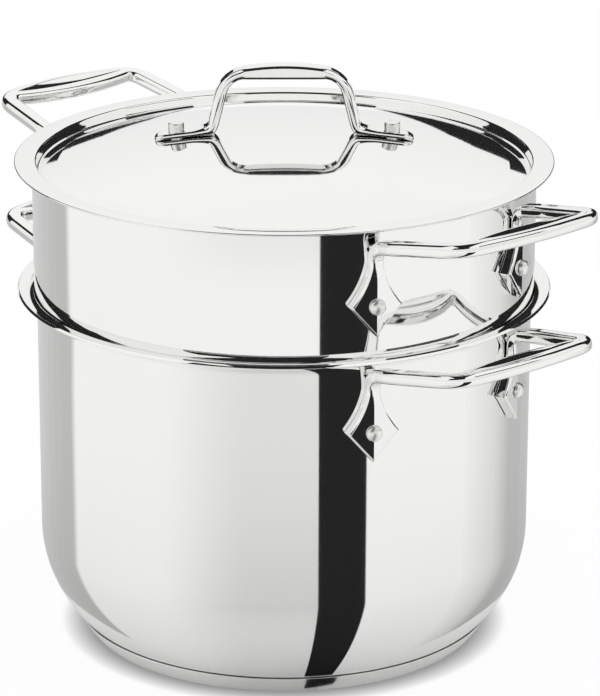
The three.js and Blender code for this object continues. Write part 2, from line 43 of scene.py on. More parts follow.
# Sizes in millimetres, as in the part's source.
# The pot's shell and its bonded base.
POT_BORE, POT_WALL, POT_TOP = 110.0, 1.2, 162.4
POT_OUTER = POT_BORE + POT_WALL
LIP_BEND, LIP_RADIUS, LIP_LEAN = 7.0, 120.0, 34.0
LIP_CENTRE = (POT_BORE + LIP_BEND, POT_TOP - LIP_BEND)
LIP_FLAT_ROWS = (1.05, 1.3, 2.75)
LIP_LOWER_ROUNDING, LIP_UPPER_ROUNDING = 0.2, 0.12
CORNER, CORNER_CENTRE = 58.0, (53.2, 49.52)
POT_FLOOR = 7.3
FLOOR_ROWS, WALL_ROWS = (0, 30, 70), (90, 130)
BASE_FOOT, BASE_EDGE, BASE_TOP = 89.2, 95.0, 8.4
BASE_SHEET, BASE_LIP, BASE_FLAT = 1.0, 0.6, 84
# Corners (radius, height, rounding) from the foot up the flared side and back within.
BASE_CORNERS = (
    (BASE_FLAT, 0, 0), (BASE_FOOT, 0, 1.6), (93.2, 5.0, 4.0), (BASE_EDGE, BASE_TOP, 0.25),
    (BASE_EDGE - BASE_LIP, BASE_TOP, 0.25), (92.2, 5.2, 2.0), (88.4, BASE_SHEET, 0.8),
    (BASE_FLAT, BASE_SHEET, 0),
)

# Steps round a spun piece, and the least angle in degrees of a sharp edge.
ROUND_STEPS, RIVET_STEPS, PIN_STEPS = 192, 40, 48
SHEET_CREASE, CAST_CREASE, RIVET_CREASE = 38, 50, 30

# The strainer insert.
SHEET = 0.9
BAND, INSERT_TOP, BAND_ROWS = 112.4, 219.3, (165, 180, 200)
BASKET, BASKET_FLOOR, BASKET_CORNER, SHOULDER = 106.6, 30.0, 40.0, 148.5
DRAIN_HOLE = 5.4
CENTRE_ROWS = (DRAIN_HOLE / 2, 10)
HOLE_ROWS = (80.0, 97.0, 114.0, 131.0)
HOLE_COLUMNS = 60
FLOOR_RINGS, FLOOR_CELL = ((24.0, 6), (48.0, 12)), 2.5

# The lid.
LID_RADIUS, LID_TOP, DOME_TOP, DOME_EDGE, DOME_FOOT = 120.2, 220.5, 232.2, 100.5, 108.7
DOME_SPHERE, DOME_ROUNDING = 391.1, 12
DOME_ROWS = (0, 8, 18, 30, 42, 54, 66, 78, 88, 95, 98.5)
GROOVE_BEND, GROOVE_FALL, GROOVE_STEEP = 0.8, 19.5, 76.0
FLANGE_START, FLANGE_ROUNDING = 114, 1.2
LID_TURN = math.radians(50)

# The side handles. All sections of a handle have the same number of points.
SECTION_CORNER, SECTION_TOP = 5, 8
SCOOP_SHARES = (1.05, 1, 0.96, 0.8, 0.6, 0.4, 0.2)
SEAT_GAP = 0.3
FOOT_SPREAD, TILT = 41.3, math.radians(10.5)
LOOP_HEIGHT, LOOP_LEVEL, LOOP_THICK, LOOP_EDGE = 3.0, 36, 6.0, 2.3
WINDOW_REACH, WINDOW_BOW, GRIP_REACH, GRIP_BOW = 38.0, 3.6, 47.6, 2.6
ARM_ROOT, ARM_GRIP, ARM_WIDE_ROOT, ARM_WIDE_GRIP = 42.2, 39.2, 8.0, 8.4
LOOP_CORNER, WINDOW_CORNER, WINDOW_EASE = 14.0, 4.0, 1
SCOOP_HALF, SCOOP_WIDE, SCOOP_DEEP, SCOOP_LEAST, SCOOP_POWER = 31.0, 5.0, 2.5, 0.25, 2
FOOT_THICK, FOOT_EDGE, FOOT_BORDER, FOOT_SOFT = 4.8, 3.9, 1.1, 0.32
FOOT_HALF, FOOT_CORNER_DROP, FOOT_TIP_DROP = 11.7, 33.4, 47.0
FOOT_RIDGE, RIDGE_HALF = 0.035, 0.25
NECK_HALF, NECK_DROP, BEND = 3.1, 16.0, 7.4
NECK_HALF_THICK, NECK_EDGE, NECK_BORDER = 2.25, 1.5, 0.3
FADE_DROP, FADE_LENGTH = 21.5, 6
WAIST = (NECK_HALF + 1.6, FOOT_CORNER_DROP - 8.6)
TIP_ROWS = (0.1, 0.5, 1.0, 1.6, 2.4, 3.6, 5.5, 8, 10.5, 12.6)
WAIST_ROWS = (0, 0.6, 1.6, 3, 4.6, 6.4, 8.4, 10.4, 12.4)
NECK_ROWS = (19.2, 17.4, NECK_DROP)
ARM_LAP = 0.5

# The side handles' rivets: half widths, and the rise of each head.
RIVET_DROP, RIVET_LIFT, RIVET_SHANK, RIVET_ROUNDING = 33.4, 0.45, 2.5, 0.12
RIVET_HEAD, RIVET_BRIM, RIVET_DOME = 3.6, 0.35, 2.35
INNER_HEAD, INNER_BRIM, INNER_DOME = 4.2, 0.25, 0.85

# The lid's handle and its two pins.
ARCH_TOP, ARCH_UNDER, ARCH_END = 262.7, 256.2, 261.3
ARCH_INNER, ARCH_OUTER, ARCH_MIDDLE = 26.0, 31.2, 248.0
INNER_SHOULDER, INNER_SHOULDER_END = (ARCH_INNER - 1.6, ARCH_UNDER), ARCH_INNER - 9
OUTER_SHOULDER, OUTER_SHOULDER_END = (ARCH_OUTER - 2.6, 258.9), ARCH_OUTER - 13.5
CROWN_BEND = 8.8
ARCH_EDGE, ARCH_SCOOP_EDGE = 2.1, 1.6
ARCH_SCOOP_HALF, ARCH_SCOOP_WIDE, ARCH_SCOOP_LEAST = 19.0, 2.7, 0.2
ARCH_SCOOP_DEEP, ARCH_SCOOP_LEVEL, ARCH_SCOOP_POWER = 0.34, 255, 1.1
LEG_INNER, LEG_OUTER, LEG_FOOT = 28.6, 33.4, 237.0
HEEL, HEEL_START, HEEL_RISE = 29.9, 32.2, 0.6
STRAP_HALF, TONGUE_RISE, TONGUE_ROOT = 4.5, 2.5, 41.6
TONGUE_ROWS = (
    (57.6, 1.0, 1.2), (57.4, 1.9, 1.5), (56.9, 2.9, 1.8), (56.1, 3.7, 2.05), (54.9, 4.25, 2.3),
    (53.2, STRAP_HALF, TONGUE_RISE), (50, STRAP_HALF, TONGUE_RISE),
    (46, STRAP_HALF, TONGUE_RISE), (43.5, STRAP_HALF, TONGUE_RISE),
)
PIN_AT, PIN_HALF, PIN_RISE, PIN_ROUNDING = 48.0, 3.5, 6.7, 0.7
PIN_HEAD, PIN_HEAD_TIP, PIN_HEAD_THICK = 5.0, 4.4, 1.4


# Shapes

def dome_height(radius):
    """The height of the lid's dome at a radius."""
    return DOME_TOP - DOME_SPHERE + math.sqrt(DOME_SPHERE ** 2 - radius ** 2)


def bent(centre, radius, start, end, count):
    """Points on an arc of a profile, with its angles in degrees."""
    turns = [math.radians(start + (end - start) * i / count) for i in range(count + 1)]
    return [(centre[0] + radius * math.cos(t), centre[1] + radius * math.sin(t)) for t in turns]


def eased(corners, count=6):
    """A profile through corners (r, z, rounding), each rounded off."""
    line = []
    for i, (r, z, rounding) in enumerate(corners):
        if not rounding:
            line.append((r, z))
            continue
        here = Vector((r, z))
        back = (Vector(corners[i - 1][:2]) - here).normalized()
        ahead = (Vector(corners[i + 1][:2]) - here).normalized()
        half = back.angle(ahead) / 2
        first = here + back * (rounding / math.tan(half))
        last = here + ahead * (rounding / math.tan(half))
        for step in range(count + 1):
            t = step / count
            line.append(tuple(first.lerp(here, t).lerp(here.lerp(last, t), t)))
    return line


def curve(start, bend, end, t):
    """A point on a quadratic bend in a flat outline."""
    start, bend, end = Vector(start), Vector(bend), Vector(end)
    return start.lerp(bend, t).lerp(bend.lerp(end, t), t)


def spun(profile, steps):
    """A profile (r, z) turned about the pot's axis."""
    bm = bmesh.new()
    line = [bm.verts.new((r * MM, 0, z * MM)) for r, z in profile]
    edges = [bm.edges.new(pair) for pair in zip(line, line[1:])]
    bmesh.ops.spin(
        bm, geom=line + edges, cent=(0, 0, 0), axis=UP, angle=2 * math.pi,
        steps=steps, use_merge=True, use_duplicate=False,
    )
    bmesh.ops.remove_doubles(bm, verts=bm.verts, dist=1e-6)
    bmesh.ops.recalc_face_normals(bm, faces=bm.faces)
    return bm


def run_on(bm, ring, points):
    """Extrude a handle's open ring to its next section."""
    edges = [bm.edges.get((v, ring[i - 1])) for i, v in enumerate(ring)]
    made = bmesh.ops.extrude_edge_only(bm, edges=edges)["geom"]
    fresh = {v for v in made if isinstance(v, bmesh.types.BMVert)}
    following = []
    for v, point in zip(ring, points):
        after = next(e.other_vert(v) for e in v.link_edges if e.other_vert(v) in fresh)
        after.co = point
        following.append(after)
    return following


def cast(sections):
    """A handle run through sections of equal count, closed at both ends."""
    bm = bmesh.new()
    ring = [bm.verts.new(p) for p in sections[0]]
    for i, v in enumerate(ring):
        bm.edges.new((ring[i - 1], v))
    bm.faces.new(ring)
    for points in sections[1:]:
        ring = run_on(bm, ring, points)
    bm.faces.new(ring)
    bmesh.ops.recalc_face_normals(bm, faces=bm.faces)
    return bm


def finish_piece(name, bm, body, node, finish, crease=SHEET_CREASE):
    """Name a modelled piece, set it on its body and give it its finish."""
    for face in bm.faces:
        face.smooth = True
    for edge in bm.edges:
        if len(edge.link_faces) == 2 and edge.calc_face_angle(0) > math.radians(crease):
            edge.smooth = False
    mesh = bpy.data.meshes.new(name)
    bm.to_mesh(mesh)
    bm.free()
    mesh.materials.append(finish)
    piece = bpy.data.objects.new(name, mesh)
    scene.collection.objects.link(piece)
    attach(piece, body)
    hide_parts(node)
    return piece


def even_shading(piece):
    """Shade a piece mainly by its larger faces."""
    even = piece.modifiers.new("even shading", "WEIGHTED_NORMAL")
    even.keep_sharp = True


def lens_half(along, half, wide):
    """Half the width of a lens-shaped scoop at a place along it."""
    radius = (half ** 2 + wide ** 2) / (2 * wide)
    return math.sqrt(max(radius ** 2 - along ** 2, 0)) - radius + wide


def strap_ring(half_wide, half_thick, edge, scoop=None):
    """A rounded strap section: across, then through, from its outer side."""
    flat, side = half_wide - edge, half_thick - edge

    def corner(across, through, start):
        return bent((across, through), edge, start, start + 90, SECTION_CORNER)

    if scoop:
        half, deep, power = scoop
        rows = [(half * f, half_thick - deep * (1 - min(1, f) ** power))
                for f in SCOOP_SHARES]
        top = rows + [(0, half_thick - deep)] + [(-a, b) for a, b in reversed(rows)]
    else:
        top = [(flat * k / SECTION_TOP, half_thick)
               for k in range(SECTION_TOP - 1, -SECTION_TOP, -1)]
    under = [(flat * k / 2, -half_thick) for k in (-1, 0, 1)]
    return (
        corner(flat, side, 0) + top + corner(-flat, side, 90)
        + corner(-flat, -side, 180) + under + corner(flat, -side, 270)
    )


def foot_ring(half, inner, front, wall):
    """A section across a handle's foot: bevelled border, back bent to the wall."""
    soft = min(FOOT_SOFT, half * 0.3)

    def back(across):
        return SEAT_GAP - wall + math.sqrt(wall ** 2 - across ** 2)

    outer, crown = Vector((half, FOOT_EDGE)), Vector((inner, front))
    along = (crown - outer).normalized() * min(soft, (crown - outer).length * 0.3)
    low = Vector((half, FOOT_EDGE - soft))
    high = Vector((max(inner - soft, inner * 0.6), front))
    border = [
        high, crown * 0.5 + (high + crown - along) * 0.25, crown - along,
        outer + along, outer * 0.5 + (low + outer + along) * 0.25, low,
    ]
    hem = bent((half - soft, -back(half) - soft), soft, 0, 90, SECTION_CORNER)
    places = [(half - soft) * k / SECTION_TOP for k in range(SECTION_TOP - 1, -SECTION_TOP, -1)]
    backing = [(across, -back(across)) for across in places]
    step = min(RIDGE_HALF, high.x / 2)
    ridge = [(a, -front - FOOT_RIDGE * (high.x - abs(a))) for a in (-step, 0, step)]
    face = [(-p.x, -p.y) for p in reversed(border)] + ridge + [(p.x, -p.y) for p in border]
    return hem + backing + [(-a, b) for a, b in reversed(hem)] + face


def placed(ring, centre, across, through):
    """A section's points, set in space."""
    return [(centre + across * a + through * b) * MM for a, b in ring]


def foot_width(drop):
    """Half the foot's width at a drop below the rim: a diamond with a neck."""
    if drop >= FOOT_CORNER_DROP:
        return FOOT_HALF * (FOOT_TIP_DROP - drop) / (FOOT_TIP_DROP - FOOT_CORNER_DROP)
    if drop <= NECK_DROP:
        return NECK_HALF
    start, end = (FOOT_HALF, FOOT_CORNER_DROP), (NECK_HALF, NECK_DROP)
    low, high = 0.0, 1.0
    for _ in range(24):
        middle = (low + high) / 2
        if curve(start, WAIST, end, middle).y > drop:
            low = middle
        else:
            high = middle
    return curve(start, WAIST, end, low).x


def foot_seat(wall):
    """The neck's distance from the axis, and the foot's turn round the wall."""
    seat = wall + SEAT_GAP + NECK_HALF_THICK
    return seat, math.asin(FOOT_SPREAD / seat)


def foot_sections(wall, rim, turn):
    """The foot, from its lower tip to its neck."""
    out = Vector((math.cos(turn), math.sin(turn), 0))
    aside = Vector((-out.y, out.x, 0))
    below = [FOOT_TIP_DROP - d for d in TIP_ROWS]
    above = [FOOT_CORNER_DROP - d for d in WAIST_ROWS]
    sections = []
    for drop in (*below, *above, *NECK_ROWS):
        half = foot_width(drop)
        if drop >= FOOT_CORNER_DROP:
            inner = max(half - FOOT_BORDER, 0)
        else:
            inner = half - FOOT_BORDER + NECK_BORDER * (FOOT_HALF - half) / (FOOT_HALF - NECK_HALF)
        front = FOOT_EDGE + (FOOT_THICK - FOOT_EDGE) * min(1, half / FOOT_BORDER)
        front += FOOT_RIDGE * (FOOT_HALF - FOOT_BORDER - inner)
        foot = foot_ring(half, inner, front, wall)
        neck = strap_ring(half, NECK_HALF_THICK, NECK_EDGE)
        fade = max(0, (FADE_DROP - drop) / FADE_LENGTH)
        ring = [(a + (c - a) * fade, b + (d - SEAT_GAP - NECK_HALF_THICK - b) * fade)
                for (a, b), (c, d) in zip(foot, neck)]
        sections.append(placed(ring, out * wall + UP * (rim - drop), aside, -out))
    return sections


def neck_sections(seat, turn, stop, start):
    """The neck's bend out into the arm."""
    sections = []
    for step in range(11):
        t = step / 10
        angle, lean = stop * t, turn * (1 - t)
        out = Vector((math.cos(lean), math.sin(lean), 0))
        aside = Vector((-out.y, out.x, 0))
        middle = Vector((seat * math.cos(turn), FOOT_SPREAD, start))
        middle += out * BEND * (1 - math.cos(angle)) + UP * BEND * math.sin(angle)
        through = UP * math.sin(angle) - out * math.cos(angle)
        ring = strap_ring(
            NECK_HALF + (ARM_WIDE_ROOT / 2 - NECK_HALF) * t,
            NECK_HALF_THICK + (LOOP_THICK / 2 - NECK_HALF_THICK) * t,
            NECK_EDGE + (LOOP_EDGE - NECK_EDGE) * t,
        )
        sections.append(placed(ring, middle, aside, through))
    return sections


def loop_pairs():
    """Inner and outer points of half the flat loop: arm, corner and grip."""
    window, grip = WINDOW_REACH / math.cos(TILT), GRIP_REACH / math.cos(TILT)
    inner_root, outer_root = ARM_ROOT - ARM_WIDE_ROOT / 2, ARM_ROOT + ARM_WIDE_ROOT / 2
    inner_grip, outer_grip = ARM_GRIP - ARM_WIDE_GRIP / 2, ARM_GRIP + ARM_WIDE_GRIP / 2
    bow_half = outer_grip - LOOP_CORNER
    inner_end = inner_grip - WINDOW_CORNER
    inner_bend = (window - WINDOW_CORNER + WINDOW_EASE, inner_grip)
    inner_knee = (window + 2 * WINDOW_BOW / inner_end * WINDOW_CORNER, inner_grip)
    outer_bend = (grip - LOOP_CORNER, outer_grip)
    slope = (outer_grip - outer_root) / outer_bend[0]
    lift = (outer_root + slope * grip - bow_half) / (1 + slope * 2 * GRIP_BOW / bow_half)
    outer_knee = (grip - lift * 2 * GRIP_BOW / bow_half, bow_half + lift)
    pairs = []
    for step in range(1, 7):
        t = step / 6
        pairs.append((Vector((0, inner_root)).lerp(Vector(inner_bend), t),
                      Vector((0, outer_root)).lerp(Vector(outer_bend), t)))
    for step in range(1, 11):
        t = step / 10
        pairs.append((curve(inner_bend, inner_knee, (window, inner_end), t),
                      curve(outer_bend, outer_knee, (grip, bow_half), t)))
    for step in range(1, 15):
        t = step / 14
        y = bow_half * (1 - t)
        pairs.append((Vector((window - WINDOW_BOW * (1 - (1 - t) ** 2), inner_end * (1 - t))),
                      Vector((grip + GRIP_BOW * (1 - (y / bow_half) ** 2), y))))
    return pairs


def loop_sections(start, top):
    """The arm, the corner and half the grip, in the tilted plane of the loop."""
    along = Vector((math.cos(TILT), 0, math.sin(TILT)))
    square = Vector((-math.sin(TILT), 0, math.cos(TILT)))
    origin = Vector((start, 0, top)) - square * (LOOP_THICK / 2)
    sections = []
    for inner, outer in loop_pairs():
        across = outer - inner
        y = (inner.y + outer.y) / 2
        wide = lens_half(y, SCOOP_HALF, SCOOP_WIDE)
        scoop = None
        if wide > SCOOP_LEAST and y < SCOOP_HALF:
            scoop = (wide, SCOOP_DEEP * wide / SCOOP_WIDE, SCOOP_POWER)
        ring = strap_ring(across.length / 2, LOOP_THICK / 2, LOOP_EDGE, scoop)
        middle = (inner + outer) / 2
        across = across.normalized()
        sections.append(placed(ring, origin + along * middle.x + Vector((0, middle.y, 0)),
                               along * across.x + Vector((0, across.y, 0)), square))
    return sections


def handle_sections(wall, rim):
    """A side handle's sections from one foot's tip round the grip to the other."""
    seat, turn = foot_seat(wall)
    stop = math.pi / 2 - TILT
    root = seat * math.cos(turn) + BEND * (1 - math.cos(stop))

    def top_at(x):
        return rim + LOOP_HEIGHT - (wall + LOOP_LEVEL - x) * math.tan(TILT)

    bend_start = top_at(root) - LOOP_THICK / 2 / math.cos(TILT) - BEND * math.sin(stop)
    sections = (
        foot_sections(wall, rim, turn) + neck_sections(seat, turn, stop, bend_start)
        + loop_sections(root + ARM_LAP, top_at(root + ARM_LAP))
    )
    other = [[Vector((p.x, -p.y, p.z)) for p in section] for section in reversed(sections[:-1])]
    return sections + other


def side_handles(body, names, wall, rim, finish):
    """The right and left loop handles on one wall."""
    for name, turn in zip(names, (0, math.pi)):
        bm = cast(handle_sections(wall, rim))
        turned = Matrix.Rotation(turn, 3, "Z")
        bmesh.ops.rotate(bm, verts=bm.verts, cent=(0, 0, 0), matrix=turned)
        even_shading(
            finish_piece(name + "_cast", bm, body, name, finish, CAST_CREASE))


def side_rivets(body, stem, wall, rim, finish):
    """Four domed rivets, spun upright and laid through their feet."""
    _, turn = foot_seat(wall)
    outside, inside = FOOT_THICK + RIVET_LIFT, -POT_WALL - SEAT_GAP
    brim, inner_brim = outside + RIVET_BRIM, inside - INNER_BRIM
    dome = [math.radians(a) for a in range(9, 82, 9)]
    inner_dome = [math.radians(a) for a in range(0, 85, 12)]
    profile = (
        [(0, brim + RIVET_DOME)]
        + [(RIVET_HEAD * math.sin(a), brim + RIVET_DOME * math.cos(a)) for a in dome]
        + eased([(RIVET_HEAD, brim, 0), (RIVET_HEAD, outside, RIVET_ROUNDING),
                 (RIVET_SHANK, outside, 0)], 3)
        + [(RIVET_SHANK, inside), (INNER_HEAD, inside)]
        + [(INNER_HEAD * math.cos(a), inner_brim - INNER_DOME * math.sin(a)) for a in inner_dome]
        + [(0, inner_brim - INNER_DOME)]
    )
    upright = Matrix.Translation((wall * MM, 0, (rim - RIVET_DROP) * MM))
    laid = upright @ Matrix.Rotation(math.pi / 2, 4, "Y")
    for count, place in enumerate((-turn, turn, math.pi - turn, math.pi + turn), 1):
        bm = spun(profile, RIVET_STEPS)
        bmesh.ops.transform(bm, verts=bm.verts, matrix=Matrix.Rotation(place, 4, "Z") @ laid)
        node = f"{stem}_{count}"
        finish_piece(node + "_domed", bm, body, node, finish, RIVET_CREASE)


def pot_shell(finish):
    """Sheet pot: flat floor, wide round corner, straight wall and flared lip."""
    floor_top, within = POT_FLOOR + POT_WALL, CORNER - POT_WALL
    low = math.degrees(math.asin((POT_FLOOR - CORNER_CENTRE[1]) / CORNER))
    high = math.degrees(math.asin((floor_top - CORNER_CENTRE[1]) / within))
    under = bent(LIP_CENTRE, LIP_BEND - POT_WALL, 180, 90, 14)
    over = [(LIP_RADIUS - d, POT_TOP) for d in LIP_FLAT_ROWS]
    over += bent(LIP_CENTRE, LIP_BEND, 90, 180, 20)
    lean = POT_WALL * math.tan(math.radians(LIP_LEAN))
    edge = eased([
        (*under[-1], 0), (LIP_RADIUS, POT_TOP - POT_WALL, LIP_LOWER_ROUNDING),
        (LIP_RADIUS - lean, POT_TOP, LIP_UPPER_ROUNDING), (*over[0], 0),
    ], 5)[1:-1]
    profile = (
        [(r, POT_FLOOR) for r in FLOOR_ROWS] + bent(CORNER_CENTRE, CORNER, low, 0, 32)
        + [(POT_OUTER, z) for z in WALL_ROWS] + under + edge + over
        + [(POT_BORE, z) for z in reversed(WALL_ROWS)] + bent(CORNER_CENTRE, within, 0, high, 32)
        + [(r, floor_top) for r in reversed(FLOOR_ROWS)]
    )
    shell = spun(profile, ROUND_STEPS)
    finish_piece("pot_shell", shell, "pot", "pot_body", finish)


def base_shell(finish):
    """The steel cap under the pot: flat foot, flared side and thin lip."""
    profile = (
        [(r, 0) for r in FLOOR_ROWS] + eased(BASE_CORNERS)
        + [(r, BASE_SHEET) for r in reversed(FLOOR_ROWS)]
    )
    shell = spun(profile, ROUND_STEPS)
    finish_piece("base_shell", shell, "pot", "base_cap", finish)


def open_holes(bm, cells, centre_of):
    """Cut a drain hole in the middle of each cell and bridge the sheet to it."""
    for faces, middle, aside, upward in cells:
        rim_edges = [e for e in {e for f in faces for e in f.edges}
                     if sum(f in faces for f in e.link_faces) == 1]
        bmesh.ops.delete(bm, geom=list(faces), context="FACES")
        hole = bmesh.ops.create_circle(bm, segments=16, radius=DRAIN_HOLE / 2 * MM)["verts"]
        for v in hole:
            v.co = centre_of(middle + aside * v.co.x + upward * v.co.y)
        hole_edges = list({e for v in hole for e in v.link_edges})
        bmesh.ops.bridge_loops(bm, edges=rim_edges + hole_edges)


def strainer(finish):
    """Perforated sheet basket with a wide band that stands on the pot's lip."""
    pitch = HOLE_ROWS[1] - HOLE_ROWS[0]
    nest = LIP_BEND + SEAT_GAP
    meets = 180 - math.degrees(math.acos((LIP_CENTRE[0] - BAND) / nest))
    wall_rows = [HOLE_ROWS[0] - pitch / 2 + pitch / 4 * i for i in range(4 * len(HOLE_ROWS) + 1)]
    floor_rows = list(CENTRE_ROWS)
    for radius, _ in FLOOR_RINGS:
        floor_rows += [radius + FLOOR_CELL * i for i in range(-2, 3)]
    corner_centre = (BASKET - BASKET_CORNER, BASKET_FLOOR + BASKET_CORNER)
    profile = (
        [(r, BASKET_FLOOR) for r in floor_rows] + bent(corner_centre, BASKET_CORNER, -90, 0, 18)
        + [(BASKET, z) for z in (*wall_rows, SHOULDER - 1, SHOULDER)]
        + bent(LIP_CENTRE, nest, 180, meets, 8)
        + [(BAND, z) for z in (*BAND_ROWS, INSERT_TOP - 0.15, INSERT_TOP)]
    )
    bm = spun(profile, HOLE_COLUMNS * 4)
    sheet_faces = {}
    for face in bm.faces:
        middle = face.calc_center_median()
        turn = math.atan2(middle.y, middle.x) % (2 * math.pi)
        column = int(turn / (2 * math.pi) * HOLE_COLUMNS)
        place = (face, middle.xy.length / MM, middle.z / MM)
        sheet_faces.setdefault(column, []).append(place)

    def cell(column, radius, height, upright):
        turn = 2 * math.pi * (column + 0.5) / HOLE_COLUMNS
        out = Vector((math.cos(turn), math.sin(turn), 0))
        aside = Vector((-out.y, out.x, 0))
        reach, tall = (1, pitch / 2) if upright else (2 * FLOOR_CELL, 1)
        faces = {f for f, r, z in sheet_faces[column]
                 if abs(r - radius) < reach and abs(z - height) < tall}
        return faces, (out * radius + UP * height) * MM, aside, UP if upright else out

    def floor_column(place, count):
        return round(HOLE_COLUMNS * (place + 0.5) / count - 0.5)

    wall_cells = [cell(column, BASKET, height, True) for row, height in enumerate(HOLE_ROWS)
                  for column in range(row % 2, HOLE_COLUMNS, 2)]
    floor_cells = [cell(floor_column(place, count), radius, BASKET_FLOOR, False)
                   for radius, count in FLOOR_RINGS for place in range(count)]

    def onto_wall(p):
        flat = Vector((p.x, p.y, 0)).normalized() * BASKET * MM
        return flat + UP * p.z

    open_holes(bm, wall_cells, onto_wall)
    open_holes(bm, floor_cells, lambda p: p)
    bmesh.ops.recalc_face_normals(bm, faces=bm.faces)
    probe = max(bm.faces, key=lambda f: f.calc_center_median().z)
    centre = probe.calc_center_median()
    if probe.normal.x * centre.x + probe.normal.y * centre.y < 0:
        bmesh.ops.reverse_faces(bm, faces=bm.faces)
    basket = finish_piece("strainer", bm, "insert", "insert_basket", finish)
    sheet = basket.modifiers.new("sheet", "SOLIDIFY")
    sheet.thickness, sheet.offset = SHEET * MM, -1
    even_shading(basket)


def lid_shell(finish):
    """Spun lid: low dome, pressed groove and flat flange with a round edge."""
    fall, steep = math.radians(GROOVE_FALL), math.radians(GROOVE_STEEP)
    crest = (DOME_EDGE, dome_height(DOME_EDGE))
    foot = Vector((DOME_FOOT, crest[1] - (DOME_FOOT - DOME_EDGE) * math.tan(fall)))
    centre = foot + GROOVE_BEND * Vector((math.sin(fall), math.cos(fall)))
    groove = bent(centre, GROOVE_BEND, -90 - GROOVE_FALL, GROOVE_STEEP - 90, 16)
    bank = groove[-1]
    top = (bank[0] + (LID_TOP - bank[1]) / math.tan(steep), LID_TOP, FLANGE_ROUNDING)
    over = [(r, dome_height(r)) for r in DOME_ROWS]
    over += eased([(*over[-1], 0), (*crest, DOME_ROUNDING), (*foot, 0)], 8)[1:-1] + groove
    over += eased([(*bank, 0), top, (FLANGE_START, LID_TOP, 0)], 8)[1:]
    edge = SHEET / 2
    profile = (
        over + bent((LID_RADIUS - edge, LID_TOP - edge), edge, 90, -90, 8)
        + [(r, z - SHEET) for r, z in reversed(over)]
    )
    shell = spun(profile, ROUND_STEPS)
    finish_piece("lid_spun", shell, "lid", "lid_shell", finish)


def arch_pairs():
    """Inner and outer points and half width of half the lid's handle."""
    def tongue_top(u):
        return dome_height(u) + SEAT_GAP + TONGUE_RISE

    def seat(u):
        return dome_height(u) + SEAT_GAP

    pairs = [(Vector((u, seat(u))), Vector((u, seat(u) + rise)), half)
             for u, half, rise in TONGUE_ROWS]
    root, knee = (TONGUE_ROOT, seat(TONGUE_ROOT)), (HEEL_START, seat(HEEL_START))
    root_top = (TONGUE_ROOT, tongue_top(TONGUE_ROOT))
    outer_heel = (LEG_OUTER, tongue_top(LEG_OUTER) + HEEL_RISE)
    inner_foot, outer_foot = (LEG_INNER, LEG_FOOT), (LEG_OUTER, LEG_FOOT)
    inner_side, outer_side = (ARCH_INNER, ARCH_MIDDLE), (ARCH_OUTER, ARCH_MIDDLE)
    inner_end, outer_end = (INNER_SHOULDER_END, ARCH_UNDER), (OUTER_SHOULDER_END, ARCH_END)
    for step in range(13):
        t = step / 12
        if t < 0.5:
            inner = Vector(root).lerp(Vector(knee), t * 2)
        else:
            inner = curve(knee, (HEEL, seat(HEEL)), inner_foot, t * 2 - 1)
        pairs.append((inner, curve(root_top, outer_heel, outer_foot, t), STRAP_HALF))
    for step in range(1, 6):
        t = step / 5
        pairs.append((Vector(inner_foot).lerp(Vector(inner_side), t),
                      Vector(outer_foot).lerp(Vector(outer_side), t), STRAP_HALF))
    for step in range(1, 13):
        t = step / 12
        pairs.append((curve(inner_side, INNER_SHOULDER, inner_end, t),
                      curve(outer_side, OUTER_SHOULDER, outer_end, t), STRAP_HALF))
    for step in range(1, 11):
        t = step / 10
        inner = Vector((INNER_SHOULDER_END * (1 - t), ARCH_UNDER))
        outer = curve(outer_end, (CROWN_BEND, ARCH_TOP), (0, ARCH_TOP), t)
        pairs.append((inner, outer, STRAP_HALF))
    return pairs


def lid_arch(finish):
    """The lid's strap handle: tongue, splayed leg, shoulder and scooped grip."""
    aside = Vector((0, 1, 0))
    sections = []
    for inner, outer, half in arch_pairs():
        through = outer - inner
        middle = (inner + outer) / 2
        thick = through.length / 2
        wide = lens_half(middle.x, ARCH_SCOOP_HALF, ARCH_SCOOP_WIDE)
        scoop, edge = None, ARCH_EDGE
        if middle.y > ARCH_SCOOP_LEVEL and wide > ARCH_SCOOP_LEAST:
            scoop = (wide, ARCH_SCOOP_DEEP * wide, ARCH_SCOOP_POWER)
            edge = ARCH_SCOOP_EDGE
        ring = strap_ring(half, thick, min(edge, half * 0.7, thick * 0.86), scoop)
        sections.append(placed(ring, Vector((middle.x, 0, middle.y)), aside,
                               Vector((through.x, 0, through.y)).normalized()))
    other = [[Vector((-p.x, p.y, p.z)) for p in section] for section in reversed(sections[:-1])]
    bm = cast(sections + other)
    turned = Matrix.Rotation(LID_TURN, 3, "Z")
    bmesh.ops.rotate(bm, verts=bm.verts, cent=(0, 0, 0), matrix=turned)
    even_shading(finish_piece(
        "lid_handle_cast", bm, "lid", "lid_handle", finish, CAST_CREASE))


def lid_pins(finish):
    """Two upright pins that hold the lid's handle, with eased flat tops."""
    top = dome_height(PIN_AT) + PIN_RISE
    under = dome_height(PIN_AT) - SHEET - SEAT_GAP
    profile = eased([
        (0, top, 0), (PIN_HALF, top, PIN_ROUNDING), (PIN_HALF, under, 0), (PIN_HEAD, under, 0.2),
        (PIN_HEAD_TIP, under - PIN_HEAD_THICK, 0.5), (0, under - PIN_HEAD_THICK, 0),
    ], 5)
    for count, side in enumerate((1, -1), 1):
        bm = spun(profile, PIN_STEPS)
        at = Matrix.Rotation(LID_TURN, 3, "Z") @ Vector((side * PIN_AT * MM, 0, 0))
        bmesh.ops.translate(bm, verts=bm.verts, vec=at)
        node = f"lid_rivet_{count}"
        finish_piece(node + "_pin", bm, "lid", node, finish, RIVET_CREASE)


# Finishes

def joined(tree, *links):
    """Link each pair of sockets."""
    for start, end in links:
        tree.links.new(start, end)


